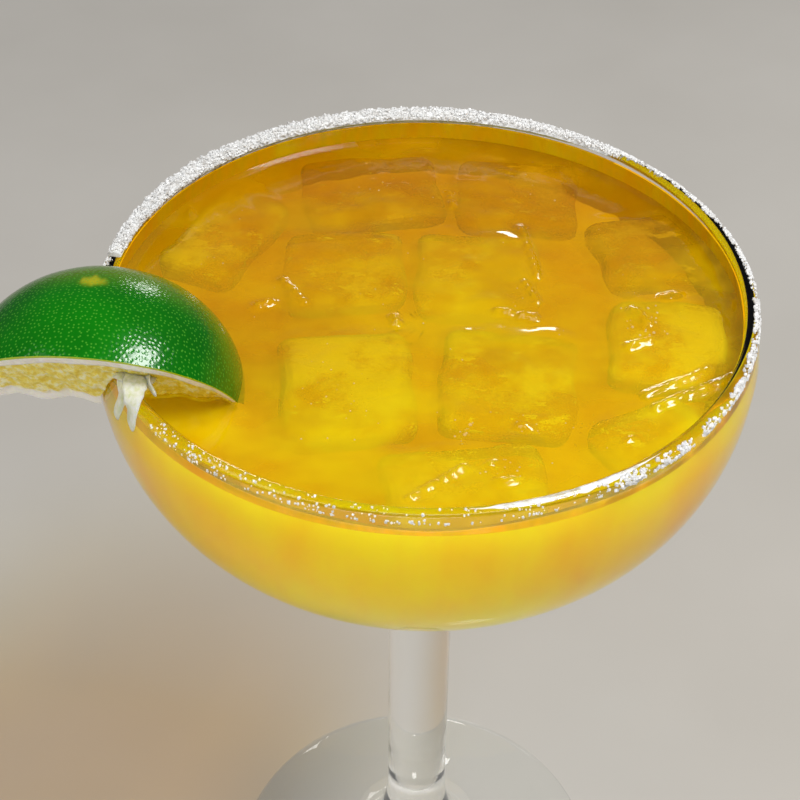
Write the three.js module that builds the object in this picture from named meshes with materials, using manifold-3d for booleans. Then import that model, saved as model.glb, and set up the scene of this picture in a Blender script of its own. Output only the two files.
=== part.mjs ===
// Margarita cocktail in a stemmed coupe glass, with ice cubes, a salted rim and a wedge of lime.
// Millimetres, +Z up. The origin is the centre of the foot's flat underside.

import * as THREE from 'three';
import { mergeVertices } from 'three/addons/utils/BufferGeometryUtils.js';
import { RoundedBoxGeometry } from 'three/addons/geometries/RoundedBoxGeometry.js';
import Module from 'manifold-3d';

const wasm = await Module();
wasm.setup();

// Clearance that touching pieces keep
const GAP = 0.3;

// Glass
const GLASS_HEIGHT = 165;
const LATHE_SEGMENTS = 48;
const WALL = 2.3;
const LIP_RADIUS = WALL / 2;
const LIP_STEPS = 4;
const RIM_OUTER_RADIUS = 55.3;
const LIP_CENTRE_RADIUS = RIM_OUTER_RADIUS - LIP_RADIUS;
const LIP_CENTRE_HEIGHT = GLASS_HEIGHT - LIP_RADIUS;
const BOWL_RADIUS = 56.3;
const BOWL_WIDEST_HEIGHT = GLASS_HEIGHT - 7.5;
const BOWL_DEPTH = 42.75;
const BOWL_FLOOR = 3.6;
const BOWL_SIDE_POWER = 2 / 2.53;
const BOWL_DEPTH_POWER = 2 / 2.16;
const BOWL_STEPS = 9;
const BOWL_LOWEST_ANGLE = THREE.MathUtils.degToRad(79);
const STEM_RADIUS = 6.2;
const FOOT_RADIUS = 39.7;
const FOOT_EDGE = 2.4;
const FOOT_EDGE_ROUNDING = 0.9;

// Outlines of the flare of the foot and of the neck under the bowl, radius and height
const FOOT_FLARE = [[30, 4], [20, 6.6], [14.6, 9.4], [11, 12.8], [8.4, 17.6], [6.8, 23], [STEM_RADIUS, 29]];
const NECK = [[STEM_RADIUS, 105], [7.1, 110], [9.4, 113.4]];

// Drink
const DRINK_LEVEL = 159.2;
const MENISCUS_RISE = 0.8;
const MENISCUS_WIDTH = 2.2;

// Ice: moulded cubes, half melted, the tops just out of the drink
const ICE_ROUNDING = 3.2;
const ICE_TAPER = 0.14;
const ICE_UNEVEN = 0.35;
const ICE_WALL_CLEARANCE = 1.3;
const ICE_ABOVE_DRINK = 0.75;
const ICE_CUBES = [
  { at: [-10.2, 37.6], size: [26, 22, 24], turn: 9, lean: [1, 1] },
  { at: [17, 36.6], size: [22.5, 22, 23], turn: -4, lean: [-1, 1] },
  { at: [-36.2, 23.5], size: [15, 27, 22], turn: -26, lean: [1, -1] },
  { at: [-14.2, 13], size: [21.5, 22, 25], turn: 4, lean: [0, -1] },
  { at: [8.8, 12], size: [21.5, 23.5, 26], turn: -2, lean: [1, 0] },
  { at: [39.5, 19.2], size: [18, 21, 21], turn: 12, lean: [-1, 1] },
  { at: [40.5, -6.5], size: [20, 22, 22], turn: -6, lean: [1, -1] },
  { at: [13, -17], size: [22.5, 25, 25], turn: -4, lean: [0, 1] },
  { at: [-13, -18.5], size: [22, 27, 24], turn: 4, lean: [-1, 0] },
  { at: [5.5, -41], size: [26, 16, 19], turn: 10, lean: [1, 1] },
  { at: [35, -28.4], size: [18, 11, 18], turn: 29, lean: [-1, -1] },
];

// Lime: a lengthwise wedge of a round lime, its core line level and lowest
const LIME_HALF_LENGTH = 23;
const LIME_RADIUS = 22.4;
const LIME_SHOULDER_POWER = 0.9;
const LIME_CORE = new THREE.Vector3(-52.6, -19.8, 154.8);
const LIME_YAW = THREE.MathUtils.degToRad(-4.2);
const LIME_TILT = THREE.MathUtils.degToRad(0.9);
const LIME_NEAR_FACE = THREE.MathUtils.degToRad(120.9);
const LIME_WEDGE_ANGLE = THREE.MathUtils.degToRad(86);
const LIME_ROWS = 18;
const LIME_PEEL_STEPS = 12;
const PITH_WIDTH = 1.8;
const FLESH_RECESS = 0.5;
const CORE_RAGGEDNESS = 0.45;
const CORE_WAVES = 2.9;
const SLIT_BOTTOM = 146;

// Pith torn loose by the slit: a ridge along the top of the rim, and prongs from root to tip
const PRONGS = [
  {
    width: 3.4,
    path: [[-48.2, -26.4, 167.4], [-46, -27.6, 167], [-44, -27.8, 166.8], [-42.2, -27.2, 166.6]],
  },
  {
    width: 2,
    path: [[-46.4, -25.4, 167.2], [-46.6, -30.6, 166.9], [-47.9, -32, 164], [-48.4, -31.2, 161.6]],
  },
  {
    width: 2.2,
    path: [[-45.6, -25.6, 167.2], [-44.9, -33.4, 167.6], [-45.2, -35.5, 165.2], [-45.3, -35.7, 163]],
  },
  {
    width: 1.5,
    path: [[-44.6, -26, 167], [-43.4, -28.4, 166.8], [-42.6, -29.6, 166.2], [-42, -30.3, 165.4]],
  },
];
const PRONG_THICKNESS = 0.9;
const PRONG_STEPS = 7;
const PRONG_SIDES = 6;

// Salt: a caked crust at the back left, and cubic grains, by stretches of the rim in degrees from +X
const SALT_SEED = 7;
const CRUST = { from: 76, to: 170, pitch: 2.1, thinnest: 0.7, thickest: 1.8 };
const CRUST_LOWEST = -40;
const CRUST_INNERMOST = 135;
const CRUST_SIDES = 5;
const GRAIN_STRETCHES = [
  { from: 76, to: 170, pitch: 3.2, size: 1.3, lift: 1.1 },
  { from: 24, to: 76, pitch: 2.9, size: 1.4, lift: 0 },
  { from: -24, to: 24, pitch: 4, size: 1, lift: 0 },
  { from: -54, to: -24, pitch: 2.7, size: 1.4, lift: 0 },
  { from: -136, to: -54, pitch: 9, size: 1, lift: 0 },
];
const GRAIN_PLACE = 40;
const GRAIN_SPREAD = 70;

function seededRandom(seed) {
  let state = seed;
  return () => {
    state = (state * 1664525 + 1013904223) % 4294967296;
    return state / 4294967296;
  };
}

// Solids from three.js geometries, and geometries from solids
function solidOf(geometry) {
  const bare = geometry.clone();
  bare.deleteAttribute('normal');
  bare.deleteAttribute('uv');
  const merged = mergeVertices(bare, 1e-4);
  const corners = merged.index.array;
  const kept = [];
  for (let i = 0; i < corners.length; i += 3) {
    const [a, b, c] = corners.slice(i, i + 3);
    if (a !== b && b !== c && c !== a) kept.push(a, b, c);
  }
  const vertProperties = new Float32Array(merged.attributes.position.array);
  const triVerts = new Uint32Array(kept);
  return new wasm.Manifold(new wasm.Mesh({ numProp: 3, vertProperties, triVerts }));
}

function geometryOf(solid) {
  const mesh = solid.getMesh();
  const geometry = new THREE.BufferGeometry();
  geometry.setAttribute('position', new THREE.BufferAttribute(mesh.vertProperties, 3));
  geometry.setIndex(new THREE.BufferAttribute(mesh.triVerts, 1));
  geometry.computeVertexNormals();
  return geometry;
}

function latheSolid(profile) {
  const geometry = new THREE.LatheGeometry(profile, LATHE_SEGMENTS);
  geometry.rotateX(Math.PI / 2);
  return solidOf(geometry);
}

// A closed skin through rows of points. Each row is a loop, and the end rows shrink to a tip.
function skinSolid(rows) {
  const count = rows[0].length;
  const position = rows.flat().flatMap((point) => point.toArray());
  const index = [];
  for (let row = 0; row + 1 < rows.length; row++) {
    for (let k = 0; k < count; k++) {
      const a = row * count + k;
      const b = row * count + (k + 1) % count;
      index.push(a, a + count, b, b, a + count, b + count);
    }
  }
  const geometry = new THREE.BufferGeometry();
  geometry.setAttribute('position', new THREE.Float32BufferAttribute(position, 3));
  geometry.setIndex(index);
  return solidOf(geometry);
}

// Bowl profiles, radius and height. A grow above 0 stands off the glass on both of its sides.
function outerWall(grow) {
  const points = [];
  for (let i = 0; i <= BOWL_STEPS; i++) {
    const angle = BOWL_LOWEST_ANGLE * (1 - i / BOWL_STEPS);
    const radius = (BOWL_RADIUS + grow) * Math.cos(angle) ** BOWL_SIDE_POWER;
    const drop = (BOWL_DEPTH + grow) * Math.sin(angle) ** BOWL_DEPTH_POWER;
    points.push(new THREE.Vector2(radius, BOWL_WIDEST_HEIGHT - drop));
  }
  return points;
}

function lip(grow) {
  const points = [];
  for (let i = 0; i <= LIP_STEPS; i++) {
    const angle = Math.PI * i / LIP_STEPS;
    const radius = LIP_CENTRE_RADIUS + (LIP_RADIUS + grow) * Math.cos(angle);
    points.push(new THREE.Vector2(radius, LIP_CENTRE_HEIGHT + (LIP_RADIUS + grow) * Math.sin(angle)));
  }
  return points;
}

function innerWall(grow) {
  const points = [];
  for (let i = 0; i <= BOWL_STEPS; i++) {
    const angle = Math.PI / 2 * i / BOWL_STEPS;
    const radius = (BOWL_RADIUS - WALL - grow) * Math.cos(angle) ** BOWL_SIDE_POWER;
    const drop = (BOWL_DEPTH - BOWL_FLOOR - grow) * Math.sin(angle) ** BOWL_DEPTH_POWER;
    points.push(new THREE.Vector2(radius, BOWL_WIDEST_HEIGHT - drop));
  }
  return points;
}

// Radius of the inner wall between the widest level and the lip
function innerRadiusNearRim(height) {
  const share = (height - BOWL_WIDEST_HEIGHT) / (LIP_CENTRE_HEIGHT - BOWL_WIDEST_HEIGHT);
  return THREE.MathUtils.lerp(BOWL_RADIUS, RIM_OUTER_RADIUS, share) - WALL;
}

function footAndStem() {
  return [
    [0, 0],
    [FOOT_RADIUS - FOOT_EDGE_ROUNDING, 0],
    [FOOT_RADIUS, FOOT_EDGE_ROUNDING],
    [FOOT_RADIUS - FOOT_EDGE_ROUNDING, FOOT_EDGE],
    ...FOOT_FLARE,
    ...NECK,
  ].map(([radius, height]) => new THREE.Vector2(radius, height));
}

function onLip(round, up, standoff) {
  const radius = LIP_CENTRE_RADIUS + standoff * Math.cos(up);
  const height = LIP_CENTRE_HEIGHT + standoff * Math.sin(up);
  return new THREE.Vector3(radius * Math.cos(round), radius * Math.sin(round), height);
}

function saltCrust(random) {
  const span = THREE.MathUtils.degToRad(CRUST.to - CRUST.from);
  const count = Math.round(span * LIP_CENTRE_RADIUS / CRUST.pitch);
  const rows = [];
  for (let row = 0; row <= count; row++) {
    const round = THREE.MathUtils.degToRad(CRUST.from) + span * row / count;
    const tip = row % count === 0;
    const loop = [onLip(round, 0, 0)];
    for (let k = 0; k <= CRUST_SIDES; k++) {
      const up = THREE.MathUtils.degToRad(
        THREE.MathUtils.lerp(CRUST_LOWEST, CRUST_INNERMOST, k / CRUST_SIDES));
      const thickness = THREE.MathUtils.lerp(CRUST.thinnest, CRUST.thickest, random());
      loop.push(onLip(round, up, tip ? 0 : LIP_RADIUS + thickness));
    }
    rows.push(loop);
  }
  return skinSolid(rows);
}

function saltGrains(random) {
  const grains = [];
  for (const { from, to, pitch, size, lift } of GRAIN_STRETCHES) {
    const span = THREE.MathUtils.degToRad(to - from);
    const count = Math.round(span * LIP_CENTRE_RADIUS / pitch);
    for (let i = 0; i < count; i++) {
      const round = THREE.MathUtils.degToRad(from) + span * (i + 0.2 + 0.6 * random()) / count;
      const up = THREE.MathUtils.degToRad(GRAIN_PLACE + GRAIN_SPREAD * (random() - 0.5));
      const side = size * (0.75 + 0.5 * random());
      const centre = onLip(round, up, LIP_RADIUS + lift + 0.15 * side);
      const grain = new THREE.BoxGeometry(side, side * (0.8 + 0.4 * random()), side);
      grain.rotateX(Math.PI * random());
      grain.rotateY(Math.PI * random());
      grain.rotateZ(Math.PI * random());
      grain.translate(...centre.toArray());
      grains.push(solidOf(grain));
    }
  }
  return grains;
}

function glassSolid() {
  const profile = [...footAndStem(), ...outerWall(0), ...lip(0), ...innerWall(0)];
  const random = seededRandom(SALT_SEED);
  const crusted = latheSolid(profile).add(saltCrust(random));
  return saltGrains(random).reduce((whole, grain) => whole.add(grain), crusted);
}

function bowlSpace(clearance) {
  const inner = innerWall(clearance).reverse();
  const top = GLASS_HEIGHT + 10;
  return latheSolid([...inner, new THREE.Vector2(inner.at(-1).x, top), new THREE.Vector2(0, top)]);
}

function iceCube(cube, index, grow) {
  const [width, depth, height] = cube.size;
  const geometry = new RoundedBoxGeometry(width + 2 * grow, depth + 2 * grow, height + 2 * grow,
    1, ICE_ROUNDING + grow);
  const position = geometry.attributes.position;
  for (let i = 0; i < position.count; i++) {
    const [x, y, z] = [position.getX(i), position.getY(i), position.getZ(i)];
    const narrowing = 1 - ICE_TAPER * (0.5 - z / height);
    const bulge = ICE_UNEVEN * Math.sin(0.21 * (x + 2 * y) + 0.17 * z + 1.7 * index);
    position.setXYZ(i, x * narrowing + bulge, y * narrowing - bulge, z);
  }
  geometry.rotateX(THREE.MathUtils.degToRad(cube.lean[0]));
  geometry.rotateY(THREE.MathUtils.degToRad(cube.lean[1]));
  geometry.rotateZ(THREE.MathUtils.degToRad(cube.turn));
  geometry.translate(cube.at[0], cube.at[1], DRINK_LEVEL + ICE_ABOVE_DRINK - height / 2);
  return solidOf(geometry).intersect(bowlSpace(ICE_WALL_CLEARANCE - grow));
}

// The wedge in its own frame: X runs along the core line, where the two cut faces meet.
// A row goes from the core up the near face, over the peel and back down the far face.
function limeRows(grow) {
  const farFace = LIME_NEAR_FACE - LIME_WEDGE_ANGLE;
  const middle = LIME_NEAR_FACE - LIME_WEDGE_ANGLE / 2;
  const apexDrop = grow / Math.sin(LIME_WEDGE_ANGLE / 2);
  const facePoint = (x, drop, along, angle, recess = 0, inward = 0) => new THREE.Vector3(
    x,
    -drop * Math.cos(middle) + along * Math.cos(angle) + recess * Math.cos(angle + inward),
    -drop * Math.sin(middle) + along * Math.sin(angle) + recess * Math.sin(angle + inward));
  const rows = [];
  for (let row = 0; row <= LIME_ROWS; row++) {
    const slope = Math.PI * (row / LIME_ROWS - 0.5);
    const x = (LIME_HALF_LENGTH + grow) * Math.sin(slope);
    const atTip = row % LIME_ROWS === 0;
    const radius = atTip ? 0 : (LIME_RADIUS + grow) * Math.cos(slope) ** LIME_SHOULDER_POWER;
    const relief = grow > 0 ? 0 : Math.min(1, 2 * radius / LIME_RADIUS);
    const ragged = CORE_RAGGEDNESS * relief * (1 + Math.sin(CORE_WAVES * row));
    const drop = atTip ? 0 : apexDrop - ragged;
    const recess = FLESH_RECESS * relief;
    const flesh = radius - PITH_WIDTH * Math.min(1, 2 * radius / LIME_RADIUS);
    const stations = [[0.12 * radius, 0], [0.3 * radius, recess], [0.97 * flesh, recess], [flesh, 0]];
    const near = stations.map(([along, dip]) =>
      facePoint(x, drop, along, LIME_NEAR_FACE, dip, -Math.PI / 2));
    const far = stations.map(([along, dip]) => facePoint(x, drop, along, farFace, dip, Math.PI / 2));
    const peel = [];
    for (let k = 0; k <= LIME_PEEL_STEPS; k++) {
      const angle = LIME_NEAR_FACE - LIME_WEDGE_ANGLE * k / LIME_PEEL_STEPS;
      const onEdge = k === 0 || k === LIME_PEEL_STEPS;
      peel.push(onEdge && !atTip
        ? facePoint(x, apexDrop, radius + apexDrop, angle)
        : facePoint(x, 0, radius, angle));
    }
    rows.push([facePoint(x, drop, 0, middle), ...near, ...peel, ...far.reverse()]);
  }
  return rows;
}

function placedLime(grow) {
  const place = new THREE.Matrix4().makeRotationFromEuler(
    new THREE.Euler(0, LIME_TILT, LIME_YAW, 'ZYX'));
  place.setPosition(LIME_CORE);
  return skinSolid(limeRows(grow).map((row) => row.map((point) => point.applyMatrix4(place))));
}

function prongSolid({ path, width }) {
  const curve = new THREE.CatmullRomCurve3(path.map((point) => new THREE.Vector3(...point)));
  const rows = [];
  for (let step = 0; step <= PRONG_STEPS; step++) {
    const share = step / PRONG_STEPS;
    const centre = curve.getPoint(share);
    const away = new THREE.Vector3(centre.x, centre.y, 0).normalize();
    const along = curve.getTangent(share);
    const across = new THREE.Vector3().crossVectors(along, away).normalize();
    const thin = new THREE.Vector3().crossVectors(across, along).normalize();
    const taper = step % PRONG_STEPS === 0 ? 0 : 1 - 0.6 * share;
    const row = [];
    for (let k = 0; k < PRONG_SIDES; k++) {
      const angle = 2 * Math.PI * k / PRONG_SIDES;
      row.push(centre.clone()
        .addScaledVector(across, taper * width / 2 * Math.cos(angle))
        .addScaledVector(thin, Math.sqrt(taper) * PRONG_THICKNESS / 2 * Math.sin(angle)));
    }
    rows.push(row);
  }
  return skinSolid(rows);
}

// The wall of the glass with room round it, which cuts the slit
function slitCutter() {
  const outside = outerWall(GAP).filter((point) => point.y > SLIT_BOTTOM);
  const inside = innerWall(GAP).filter((point) => point.y > SLIT_BOTTOM);
  const profile = [...outside, ...lip(GAP), ...inside];
  return latheSolid([...profile, profile[0].clone()]);
}

function limeSolid() {
  const wedge = PRONGS.reduce((whole, prong) => whole.add(prongSolid(prong)), placedLime(0));
  return wedge.subtract(slitCutter());
}

function drinkSolid() {
  const inner = innerWall(GAP).reverse();
  const edge = innerRadiusNearRim(DRINK_LEVEL + MENISCUS_RISE) - GAP;
  const full = latheSolid([
    ...inner,
    new THREE.Vector2(edge, DRINK_LEVEL + MENISCUS_RISE),
    new THREE.Vector2(edge - 0.3 * MENISCUS_WIDTH, DRINK_LEVEL + 0.3 * MENISCUS_RISE),
    new THREE.Vector2(edge - MENISCUS_WIDTH, DRINK_LEVEL),
    new THREE.Vector2(0, DRINK_LEVEL),
  ]);
  const aroundIce = ICE_CUBES.reduce((rest, cube, i) => rest.subtract(iceCube(cube, i, GAP)), full);
  return aroundIce.subtract(placedLime(GAP));
}

// Materials
function material(color, roughness, opacity = 1) {
  return new THREE.MeshStandardMaterial({
    color, roughness, metalness: 0, opacity, transparent: opacity < 1,
  });
}

const group = new THREE.Group();

function addPiece(name, solid, finish) {
  const mesh = new THREE.Mesh(geometryOf(solid), finish);
  mesh.name = name;
  group.add(mesh);
}

addPiece('glass', glassSolid(), material(0xeef3f0, 0.03, 0.35));
addPiece('drink', drinkSolid(), material(0xd9a50a, 0.06, 0.9));
ICE_CUBES.forEach((cube, i) => {
  addPiece(`ice_cube_${i + 1}`, iceCube(cube, i, 0), material(0xe6c25a, 0.08, 0.6));
});
addPiece('lime_wedge', limeSolid(), material(0x2f9a1c, 0.3));

export default group;
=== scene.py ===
# Looks of a margarita in its stemmed coupe glass: glass, salted rim, drink, ice and a wedge of lime.
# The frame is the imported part's, in metres with +Z up. Sizes below are in millimetres.

import math
import random

import bmesh
import bpy
from mathutils import Matrix, Vector, noise


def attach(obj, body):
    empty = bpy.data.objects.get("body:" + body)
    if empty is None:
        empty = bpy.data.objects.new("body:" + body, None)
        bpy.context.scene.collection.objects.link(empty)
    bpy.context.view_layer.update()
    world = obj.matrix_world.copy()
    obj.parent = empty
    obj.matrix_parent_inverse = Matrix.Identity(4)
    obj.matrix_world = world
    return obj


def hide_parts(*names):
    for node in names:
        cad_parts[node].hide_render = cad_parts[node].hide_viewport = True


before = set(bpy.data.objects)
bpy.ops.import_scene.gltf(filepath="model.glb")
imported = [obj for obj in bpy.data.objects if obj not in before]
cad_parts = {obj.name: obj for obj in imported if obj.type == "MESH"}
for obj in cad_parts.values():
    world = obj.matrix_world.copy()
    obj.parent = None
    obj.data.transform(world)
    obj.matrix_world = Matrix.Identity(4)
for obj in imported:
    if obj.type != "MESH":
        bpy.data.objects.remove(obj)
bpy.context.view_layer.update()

MM = 0.001

# Glass
WALL = 2.3
LIP_RADIUS = 1.15
LIP_RING_RADIUS = 54.15
LIP_RING_HEIGHT = 163.85
BOWL_RADIUS = 56.3
BOWL_WIDEST_HEIGHT = 157.5
BOWL_DEPTH = 42.75
BOWL_FLOOR = 3.6
SIDE_POWER = 2 / 2.53
DEPTH_POWER = 2 / 2.16
FOOT_EDGE = [(0, 0), (20, 0), (38.8, 0), (39.4, 0.25), (39.7, 0.9), (39.6, 1.6), (38.8, 2.4)]
FOOT_FLARE = [(38.8, 2.4), (30, 4), (20, 6.6), (14.6, 9.4), (11, 12.8), (8.4, 17.6), (6.8, 23), (6.2, 29)]
STEM = [(6.2, 45), (6.2, 60), (6.2, 75), (6.2, 90)]
NECK = [(6.2, 105), (7.1, 110), (9.4, 113.4), (15.4, 115.6)]

# Drink
DRINK_LEVEL = 159.2
MENISCUS_RISE = 0.8
MENISCUS_WIDTH = 2.2
MENISCUS_TOP = DRINK_LEVEL + MENISCUS_RISE
INTO_WALL = 0.3
FILM_TOP = 163.4
FILM_THICKNESS = 0.14
SPIN_STEPS_OF_DRINK = 420
RINGS_OF_DRINK_SURFACE = 140
CALM_NEAR_WALL = 2.5
CLOUD_CLEARANCE = 4.5
TOP_FINISH_FROM = 158
TOP_FINISH_OFF_WALL = 0.22

# Wet ridges of ice that stand out of the drink: start, end, height and half width, scaled by the factors
GLINT_HEIGHT_FACTOR = 1.3
GLINT_WIDTH_FACTOR = 1.35
GLINTS = [
    ((-29, 0.6), (-26.5, 1.4), 0.75, 0.7),
    ((-5.6, -2.2), (-5, -3.8), 0.8, 0.6),
    ((12, -0.2), (14.2, -0.6), 0.7, 0.6),
    ((16.2, -1.6), (18.3, -2), 0.8, 0.65),
    ((40.6, 3.6), (43.4, 4.4), 0.85, 0.75),
    ((52, 0.8), (52.4, 2.4), 0.6, 0.55),
    ((35.2, -0.5), (37, -3.5), 1.0, 1.1),
    ((33.6, -9.6), (37.4, -8.2), 0.9, 0.8),
    ((36.4, -25.2), (49.2, -17.6), 0.85, 0.7),
    ((35, -21.8), (46, -15.4), 0.6, 0.6),
    ((14.6, -29.4), (16, -30), 0.8, 0.6),
    ((31, -33.2), (32, -32.6), 0.7, 0.6),
    ((-2.7, -46.4), (5.4, -39.4), 0.8, 0.65),
    ((10.6, -42.6), (12.8, -42.2), 0.9, 0.8),
    ((9.2, -38.8), (10, -38.2), 0.7, 0.55),
    ((17.2, 24), (19.2, 10), 0.7, 0.7),
    ((17, 8), (18.8, 2.6), 0.6, 0.6),
    ((-25, 8), (-21, 2), 0.5, 0.6),
    ((-44, 30), (-42.6, 27), 0.7, 0.6),
    ((4.4, 35), (5, 31), 0.6, 0.6),
]

# Ice: place of the middle, size, turn and lean in degrees, as in the part's source
ICE_ROUNDING = 3.2
ICE_TAPER = 0.14
ICE_UNEVEN = 0.35
ICE_WALL_CLEARANCE = 1.3
ICE_ABOVE_DRINK = 0.75
ICE_UNDER_SKIN = 1.1
BULGE_ROUNDING = 2.4
LEAST_LIFT_OVER_ICE = 0.22
ICE_CUBES = [
    {"at": (-10.2, 37.6), "size": (26, 22, 24), "turn": 9, "lean": (1, 1), "look": "shaded_brown"},
    {"at": (17, 36.6), "size": (22.5, 22, 23), "turn": -4, "lean": (-1, 1), "look": "shaded_brown"},
    {"at": (-36.2, 23.5), "size": (15, 27, 22), "turn": -26, "lean": (1, -1), "look": "yellow"},
    {"at": (-14.2, 13), "size": (21.5, 22, 25), "turn": 4, "lean": (0, -1), "look": "yellow"},
    {"at": (8.8, 12), "size": (21.5, 23.5, 26), "turn": -2, "lean": (1, 0), "look": "clear"},
    {"at": (39.5, 19.2), "size": (18, 21, 21), "turn": 12, "lean": (-1, 1), "look": "shaded_brown"},
    {"at": (40.5, -6.5), "size": (20, 22, 22), "turn": -6, "lean": (1, -1), "look": "yellow"},
    {"at": (13, -17), "size": (22.5, 25, 25), "turn": -4, "lean": (0, 1), "look": "yellow"},
    {"at": (-13, -18.5), "size": (22, 27, 24), "turn": 4, "lean": (-1, 0), "look": "yellow"},
    {"at": (5.5, -41), "size": (26, 16, 19), "turn": 10, "lean": (1, 1), "look": "clear"},
    {"at": (35, -28.4), "size": (18, 11, 18), "turn": 29, "lean": (-1, -1), "look": "clear"},
]

# Lime: its own frame has X along the core line; angles are round that line, from +Y
LIME_HALF_LENGTH = 23
LIME_RADIUS = 22.4
LIME_SHOULDER_POWER = 0.9
LIME_CORE = (-52.6, -19.8, 154.8)
LIME_YAW = math.radians(-4.2)
LIME_TILT = math.radians(0.9)
LIME_NEAR_FACE = math.radians(120.9)
LIME_WEDGE_ANGLE = math.radians(86)
PITH_WIDTH = 3.4
FLESH_RECESS = 0.5
SLIT_BOTTOM = 146
SLIT_CLEARANCE = 0.3
LIME_ROWS = 130
PEEL_DEPTH = 0.16
PEEL_MIDDLE_ANGLE = 78
YELLOW_SPOT = {"along": -0.6, "around": 80, "half_length": 2.5, "half_width": 5.0}
FLAP_PRONGS = [
    (4.6, [(-48.2, -26.4, 167.4), (-46, -27.6, 167), (-44, -27.8, 166.8), (-42.2, -27.2, 166.6)]),
    (2.9, [(-46.4, -25.4, 167.2), (-46.6, -30.6, 166.9), (-47.9, -32, 164), (-48.4, -31.2, 161.6)]),
    (3.2, [(-45.6, -25.6, 167.2), (-44.9, -33.4, 167.6), (-45.2, -35.5, 165.2), (-45.3, -35.7, 163)]),
    (2.2, [(-44.6, -26, 167), (-43.4, -28.4, 166.8), (-42.6, -29.6, 166.2), (-42, -30.3, 165.4)]),
]

# Salt: the caked stretch of the rim, and loose crystals by stretches, in degrees from +X
CRUST_FROM = 50
CRUST_TO = 172
CRUST_LOWEST = -42
CRUST_WIDTH = 205
CRUST_ROWS = 320
# The white film of dried salt on the front of the lip, also a painted highlight, in degrees from +X.
HIGHLIGHT_FILM_FROM = -84
HIGHLIGHT_FILM_TO = -50
HIGHLIGHT_FILM_ROWS = 90
CRYSTAL_STRETCHES = [
    {"from": 76, "to": 171, "count": 5200, "size": (0.18, 0.5), "up": (-42, 155), "crust": True},
    {"from": 48, "to": 76, "count": 1300, "size": (0.18, 0.5), "up": (-25, 140), "crust": True},
    {"from": 20, "to": 50, "count": 1400, "size": (0.16, 0.5), "up": (-25, 95), "crust": False},
    {"from": -24, "to": 20, "count": 1300, "size": (0.15, 0.5), "up": (-20, 78), "crust": False},
    {"from": -62, "to": -24, "count": 560, "size": (0.15, 0.55), "up": (-60, 60), "crust": False},
    {"from": -140, "to": -62, "count": 260, "size": (0.12, 0.42), "up": (-75, 90), "crust": False},
    {"from": 170, "to": 188, "count": 150, "size": (0.15, 0.45), "up": (-30, 100), "crust": False},
]


# Modelling steps that the pieces share
def leave_nothing_selected():
    if bpy.context.mode != "OBJECT":
        bpy.ops.object.mode_set(mode="OBJECT")
    bpy.ops.object.select_all(action="DESELECT")


def named(name):
    piece = bpy.context.object
    piece.name = name
    piece.data.name = name
    return piece


def select_only(piece):
    leave_nothing_selected()
    piece.select_set(True)
    bpy.context.view_layer.objects.active = piece


def apply_modifier(piece, kind, **settings):
    select_only(piece)
    modifier = piece.modifiers.new(kind.title(), kind)
    for setting, value in settings.items():
        setattr(modifier, setting, value)
    bpy.ops.object.modifier_apply(modifier=modifier.name)


def close_seams_and_face_out(distance):
    bpy.ops.mesh.select_all(action="SELECT")
    bpy.ops.mesh.remove_doubles(threshold=distance)
    bpy.ops.mesh.normals_make_consistent(inside=False)
    bpy.ops.object.mode_set(mode="OBJECT")


def turned(name, outline, steps):
    """A point is extruded along an outline of radius and height, and the line is spun about the axis."""
    leave_nothing_selected()
    bpy.ops.mesh.primitive_plane_add(size=MM, location=(0, 0, 0))
    piece = named(name)
    bpy.ops.object.mode_set(mode="EDIT")
    bpy.ops.mesh.merge(type="CENTER")
    bpy.ops.mesh.select_all(action="SELECT")
    radius, height = outline[0]
    bpy.ops.transform.translate(value=(radius * MM, 0, height * MM))
    for (radius, height), (next_radius, next_height) in zip(outline, outline[1:]):
        step = ((next_radius - radius) * MM, 0, (next_height - height) * MM)
        bpy.ops.mesh.extrude_region_move(TRANSFORM_OT_translate={"value": step})
    bpy.ops.mesh.select_all(action="SELECT")
    bpy.ops.mesh.spin(steps=steps, angle=math.tau, center=(0, 0, 0), axis=(0, 0, 1))
    close_seams_and_face_out(2e-6)
    return piece


def skinned(name, rows):
    """Moves a circle onto the first row of points and extrudes it from row to row, tip to tip."""
    leave_nothing_selected()
    bpy.ops.mesh.primitive_circle_add(vertices=len(rows[0]), radius=MM, location=(0, 0, 0))
    piece = named(name)
    bpy.ops.object.mode_set(mode="EDIT")
    skin = bmesh.from_edit_mesh(piece.data)
    column = skin.verts.layers.int.new("column")
    for number, corner in enumerate(skin.verts):
        corner[column] = number
        corner.co = rows[0][number]
    bmesh.update_edit_mesh(piece.data)
    for row in rows[1:]:
        bpy.ops.mesh.extrude_region_move(TRANSFORM_OT_translate={"value": (0, 0, 0)})
        skin = bmesh.from_edit_mesh(piece.data)
        column = skin.verts.layers.int["column"]
        for corner in skin.verts:
            if corner.select:
                corner.co = row[corner[column]]
        bmesh.update_edit_mesh(piece.data)
    close_seams_and_face_out(1e-6)
    return piece


def smooth(piece, angle):
    select_only(piece)
    bpy.ops.object.shade_smooth_by_angle(angle=math.radians(angle))


def wear(piece, *finishes):
    piece.data.materials.clear()
    for finish in finishes:
        piece.data.materials.append(finish)


def belong(piece, slot, *nodes):
    """The piece rides on the one body and stands for CAD nodes, which it hides. The slot is not used."""
    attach(piece, "root")
    if nodes:
        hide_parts(*nodes)


# Curves and shapes shared by several pieces
def eased(points, steps):
    """Points of a smooth curve through the given ones."""
    spots = [Vector(point) for point in points]
    ends = [2 * spots[0] - spots[1], *spots, 2 * spots[-1] - spots[-2]]
    curve = []
    for before, start, end, after in zip(ends, ends[1:], ends[2:], ends[3:]):
        for step in range(steps):
            share = step / steps
            curve.append(0.5 * (
                2 * start + (end - before) * share
                + (2 * before - 5 * start + 4 * end - after) * share ** 2
                + (3 * start - before - 3 * end + after) * share ** 3))
    curve.append(spots[-1])
    return [tuple(spot) for spot in curve]


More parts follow.
